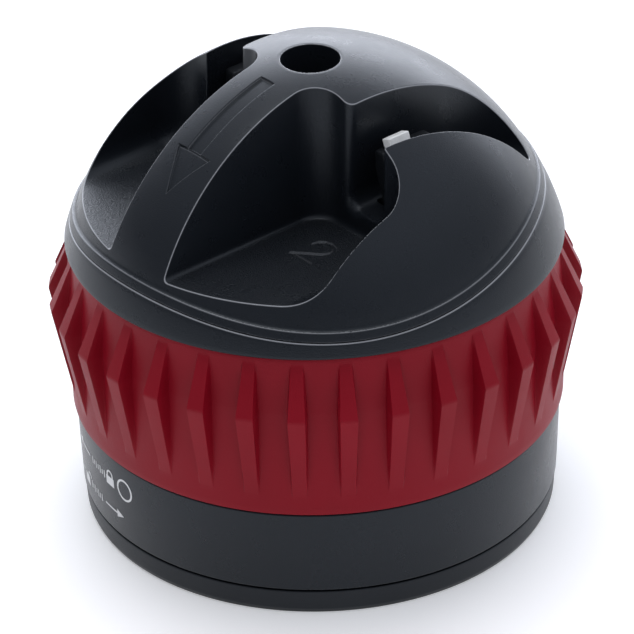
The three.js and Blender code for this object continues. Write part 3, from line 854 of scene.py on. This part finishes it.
def paints():
    """One material per slot. A plastic is (dark tone, light tone, roughness, grain, grain depth, specular, tint)."""
    PAINT["black_shell"] = grained_dome()
    plastics = {
        "black_trim": ((0.006, 0.0072, 0.0095), (0.0085, 0.0098, 0.0125), 0.40, 5200, 0.00003, 0.34, COOL),
        "red_grip": ((0.205, 0.0020, 0.0090), (0.235, 0.0028, 0.0115), 0.45, 4200, 0.00003, 0.13),
        # The holders' plastic: black, and darker than the dome's black as painted shade for the deep slots they sit in.
        "grey_works": ((0.0035, 0.0042, 0.0055), (0.0050, 0.0060, 0.0075), 0.5, 4000, 0.00004, 0.2, COOL),
        "rubber": ((0.010, 0.010, 0.011), (0.015, 0.015, 0.016), 0.68, 2600, 0.00004, 0.35),
        "print": ((0.62, 0.62, 0.62), (0.72, 0.72, 0.72), 0.6, 3000, 0.00002),
    }
    for name, look in plastics.items():
        PAINT[name] = plastic(name, *look)
    PAINT["steel"] = metal("steel", (0.62, 0.62, 0.61), 0.3, 0.00001)
    PAINT["carbide"] = metal("carbide", (0.16, 0.17, 0.18), 0.42, 0.00002)
    PAINT["ceramic"] = ceramic()


# ---------------------------------------------------------------- sharpening stages
def bar_field(t, m, z, t0, t1, thick, low, top, cross, sign):
    """Leaning bar between t0 and t1; the two bars of a stage lean opposite ways through the same point."""
    c, s = math.cos(LEAN), math.sin(LEAN)
    u, v = m - STAGE_N, z - cross
    across = u * c - sign * v * s
    along = sign * u * s + v * c
    d = np.maximum(np.abs(t - (t0 + t1) / 2) - (t1 - t0) / 2, np.abs(across) - thick / 2)
    return np.maximum(d, np.maximum((low - cross) / c - along, along - (top - cross) / c))


def holder(name, s):
    """Block that fills the dome's pocket, with a V on top, two leaning slots for the bars and a screw well."""
    def f(x, y, z):
        t, n = to_tn(x, y)
        u = n * s["side"] - STAGE_N
        length = np.abs(t - 4.85) - 5.15
        left = np.maximum(-2.9 - u, (-2.9 - u) * 0.94 - (z - 66.4) * 0.34)
        upper = smax(smax(length, left, 0.5), smax(u - 3.05, np.maximum(60.3 - z, z - 70.0), 0.5), 0.5)
        lower = smax(np.abs(t - 5.45) - 4.55, smax(u - 3.05, -2.9 - u, 0.4), 0.4)
        lower = np.maximum(lower, np.maximum(53.3 - z, z - 60.8))
        d = np.minimum(upper, lower)
        slope, play = 1.25 / 3.0, 0.12
        d = smax(d, (z - 68.3) * slope / math.hypot(1, slope) - np.abs(u) / math.hypot(1, slope), 0.4)
        for i, (t0, t1, top, sign) in enumerate(s["bars"]):
            end = 90 if i == 0 else top + 4
            d = np.maximum(d, -bar_field(t, u + STAGE_N, z, t0 - play, t1 + play, s["thick"] + 2 * play,
                                         BAR_LOW - 0.2, end, s["cross"], sign))
        well = np.maximum(np.hypot(t - 5.2, u) - 1.45, z - 58.6)
        return np.maximum(d, -well)
    cx, cy = from_tn(4.9, s["side"] * STAGE_N)
    h = 0.25
    net_piece(name + "_block", f, (cx - 8.5, cy - 8.5, 52.9), (cx + 8.5, cy + 8.5, 70.6), h,
              "base", "grey_works", name + "_holder", smooth=50)


def bar(name, s, t0, t1, top, sign, node):
    """One ground bar with small chamfers."""
    half = s["thick"] / 2
    c, sn = math.cos(LEAN), math.sin(LEAN)
    low, high = (BAR_LOW - s["cross"]) / c, (top - s["cross"]) / c
    bm = bmesh.new()
    bmesh.ops.create_cube(bm, size=1)
    for v in bm.verts:
        v.co = Vector((t0 if v.co.x < 0 else t1, half if v.co.y > 0 else -half, high if v.co.z > 0 else low))
    bmesh.ops.bevel(bm, geom=bm.edges[:], offset=0.2, segments=3, affect="EDGES", profile=0.6)
    for v in bm.verts:
        t, across, along = v.co
        m = STAGE_N + across * c + sign * along * sn
        x, y = from_tn(t, m * s["side"])
        v.co = Vector((x, y, s["cross"] + along * c - sign * across * sn)) * MM
    bmesh.ops.recalc_face_normals(bm, faces=bm.faces)
    me = bpy.data.meshes.new(name)
    bm.to_mesh(me)
    bm.free()
    me.shade_smooth()
    me.set_sharp_from_angle(angle=math.radians(40))
    o = bpy.data.objects.new(name, me)
    bpy.context.scene.collection.objects.link(o)
    me.materials.append(PAINT[s["slot"]])
    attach(o, "base")
    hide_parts(node)


def stages():
    for name, s in STAGES.items():
        holder(name, s)
        for tag, (t0, t1, top, sign) in zip("ab", s["bars"]):
            bar(f"{name}_bar_{tag}", s, t0, t1, top, sign, f"{name}_{s['slot']}_{tag}")


# ---------------------------------------------------------------- printed marks on the base
def on_base(az, up, s, lift):
    """Point on the base's wall: az and up place the mark, s is mm to the right along the wall, lift is outwards."""
    r = float(np.interp(up, [4.7, 12, BASE_TOP], [39.4, 39.7, 39.95])) + lift
    a = math.radians(az) + s / 39.7
    return r * math.cos(a), r * math.sin(a), up


def ribbon(points, width, closed=False):
    """Quads of a stroke in the plane of the wall, cut into short lengths."""
    fine = []
    loop = points + points[:1] if closed else points
    for (x0, y0), (x1, y1) in zip(loop, loop[1:]):
        n = max(1, int(math.hypot(x1 - x0, y1 - y0) / 0.7))
        fine += [(x0 + (x1 - x0) * i / n, y0 + (y1 - y0) * i / n) for i in range(n)]
    if not closed:
        fine.append(points[-1])
    left, right = [], []
    n = len(fine)
    for i, (x, y) in enumerate(fine):
        a = fine[i - 1] if i > 0 or closed else fine[i]
        b = fine[(i + 1) % n] if i < n - 1 or closed else fine[i]
        dx, dy = b[0] - a[0], b[1] - a[1]
        d = math.hypot(dx, dy) or 1
        left.append((x - dy / d * width / 2, y + dx / d * width / 2))
        right.append((x + dy / d * width / 2, y - dx / d * width / 2))
    count = n if closed else n - 1
    return [(left[i], right[i], right[(i + 1) % n], left[(i + 1) % n]) for i in range(count)]


def lock_icon(x, y, opened):
    """Padlock: a filled body and a shackle, swung aside when it is open."""
    body = [((x - 1.2, y - 1.3), (x + 1.2, y - 1.3), (x + 1.2, y + 0.3), (x - 1.2, y + 0.3))]
    cx = x + (1.5 if opened else 0)
    turns = [math.radians(a) for a in range(0, 181, 20)]
    arc = [(cx + 0.8 * math.cos(a), y + 0.75 + 0.7 * math.sin(a)) for a in turns]
    start = [] if opened else [(cx + 0.8, y + 0.3)]
    return body + ribbon(start + arc + [(cx - 0.8, y + 0.3)], 0.32)


def arrow_icon(x0, x1, y):
    """Thin arrow from x0 to x1."""
    way = 1 if x1 > x0 else -1
    neck = x1 - way * 1.9
    head = ((x1, y), (neck, y + 0.75), (neck, y), (neck, y - 0.75))
    return [head if way > 0 else head[::-1]] + ribbon([(x0, y), (neck, y)], 0.3)


def ticks(x0, x1):
    """Row of short graduation marks, every other one shorter."""
    n = int(abs(x1 - x0) / 0.75)
    out = []
    for i in range(n + 1):
        x, h = x0 + (x1 - x0) * i / n, 0.7 if i % 2 == 0 else 0.45
        out += ribbon([(x, -h), (x, h)], 0.26)
    return out


def prints():
    """White pad print that shows which way the ring locks: thin raised ink, in generic icons."""
    ring = [(1.85 * math.cos(math.radians(a)), 1.85 * math.sin(math.radians(a))) for a in range(0, 360, 15)]
    marks = [("lock_mark", 14.6, ribbon(ring, 0.36, True) + lock_icon(-4.3, 0.1, False)
              + ticks(-6.2, -11.0) + arrow_icon(-12.4, -19.0, 0)),
             ("unlock_mark", 8.9, arrow_icon(-6.6, -0.8, 0) + ticks(-8.0, -12.6) + lock_icon(-15.2, 0, True)
              + ribbon([(-18.4, 0), (-17.6, 0)], 0.3))]
    for name, up, quads in marks:
        verts, faces = [], []
        for q in quads:
            k, n = len(verts), len(q)
            verts += [on_base(MARK_AZ, up + y, x, lift) for lift in (INK_OUT, INK_IN) for x, y in q]
            faces.append(tuple(range(k, k + n)))
            faces.append(tuple(range(k + 2 * n - 1, k + n - 1, -1)))
            faces += [(k + i, k + n + i, k + n + (i + 1) % n, k + (i + 1) % n) for i in range(n)]
        o = mesh_object(name, np.array(verts) * MM, faces)
        o.data.materials.append(PAINT["print"])
        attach(o, "base")


# ---------------------------------------------------------------- carried-over solids
def carry():
    """CAD solids that keep their shape: they only get their finish."""
    slots = {e["node"]: e["material_slot"] for e in frame["record"]["subparts"]}
    for name, o in NODES.items():
        if o.hide_render:
            continue
        o.data.materials.clear()
        o.data.materials.append(PAINT[slots[name]])


# ---------------------------------------------------------------- build
camera()
paints()
studio()
dome()
collar()
twist_ring()
base()
foot()
cup()
stages()
prints()
spring()
carry()
